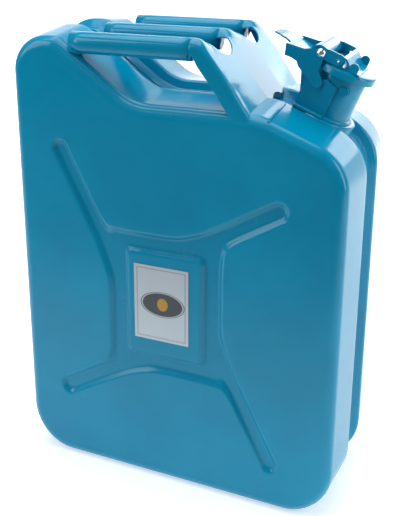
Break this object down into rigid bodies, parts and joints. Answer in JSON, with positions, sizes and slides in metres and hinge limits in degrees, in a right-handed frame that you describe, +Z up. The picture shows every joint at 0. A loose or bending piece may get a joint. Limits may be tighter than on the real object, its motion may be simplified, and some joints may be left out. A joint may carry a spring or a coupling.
{
  "type": "fuel can",
  "caption": "Upright pressed steel fuel can with parallel handle bars over a hand recess, a slanted neck and a hinged lid closed by a cam lever and locking pin.",
  "frame": {"origin": "middle of the footprint, on the ground", "axes": "+X along the width towards the spout, +Y to the back face, +Z up"},
  "size_m": [0.345, 0.1654, 0.4641],
  "materials": {
    "enamel": "glossy cyan-blue enamel over pressed steel",
    "zinc": "zinc-plated steel",
    "bright_steel": "bright bare steel",
    "label": "silver-grey foil label, blank",
    "gasket": "matt black rubber"
  },
  "bodies": {
    "can": {"front_shell": "enamel", "rear_shell": "enamel", "seam_weld": "enamel", "front_handle_bar": "enamel", "middle_handle_bar": "enamel", "rear_handle_bar": "enamel", "handle_end_plate": "enamel", "handle_weld_beads": "enamel", "neck_collar": "enamel", "neck_tube": "enamel", "neck_weld_bead": "enamel", "spout_studs": "enamel", "breather_tube": "zinc", "hinge_bracket": "enamel", "hinge_pin": "zinc", "maker_label": "label"},
    "lid": {"lid": "enamel", "lid_gasket": "gasket", "lid_strap": "enamel"},
    "lever": {"lever": "enamel", "lever_pivot_pins": "enamel"},
    "locking_pin": {"locking_pin": "bright_steel"}
  },
  "joints": [
    {"name": "lid_hinge", "type": "hinge", "parent": "can", "child": "lid", "pos_m": [0.11014, 0, 0.4403], "axis": [0, -1, 0], "range_deg": [0, 110]},
    {"name": "lever_pivot", "type": "hinge", "parent": "lid", "child": "lever", "pos_m": [0.14088, 0, 0.44352], "axis": [0, 1, 0], "range_deg": [0, 132.5]},
    {"name": "locking_slide", "type": "slide", "parent": "lever", "child": "locking_pin", "axis": [0, -1, 0], "range_m": [0, 0.02]}
  ],
  "couplings": [
    {"joint": "lever_pivot", "follows": "lid_hinge", "ratio": 1.2}
  ]
}
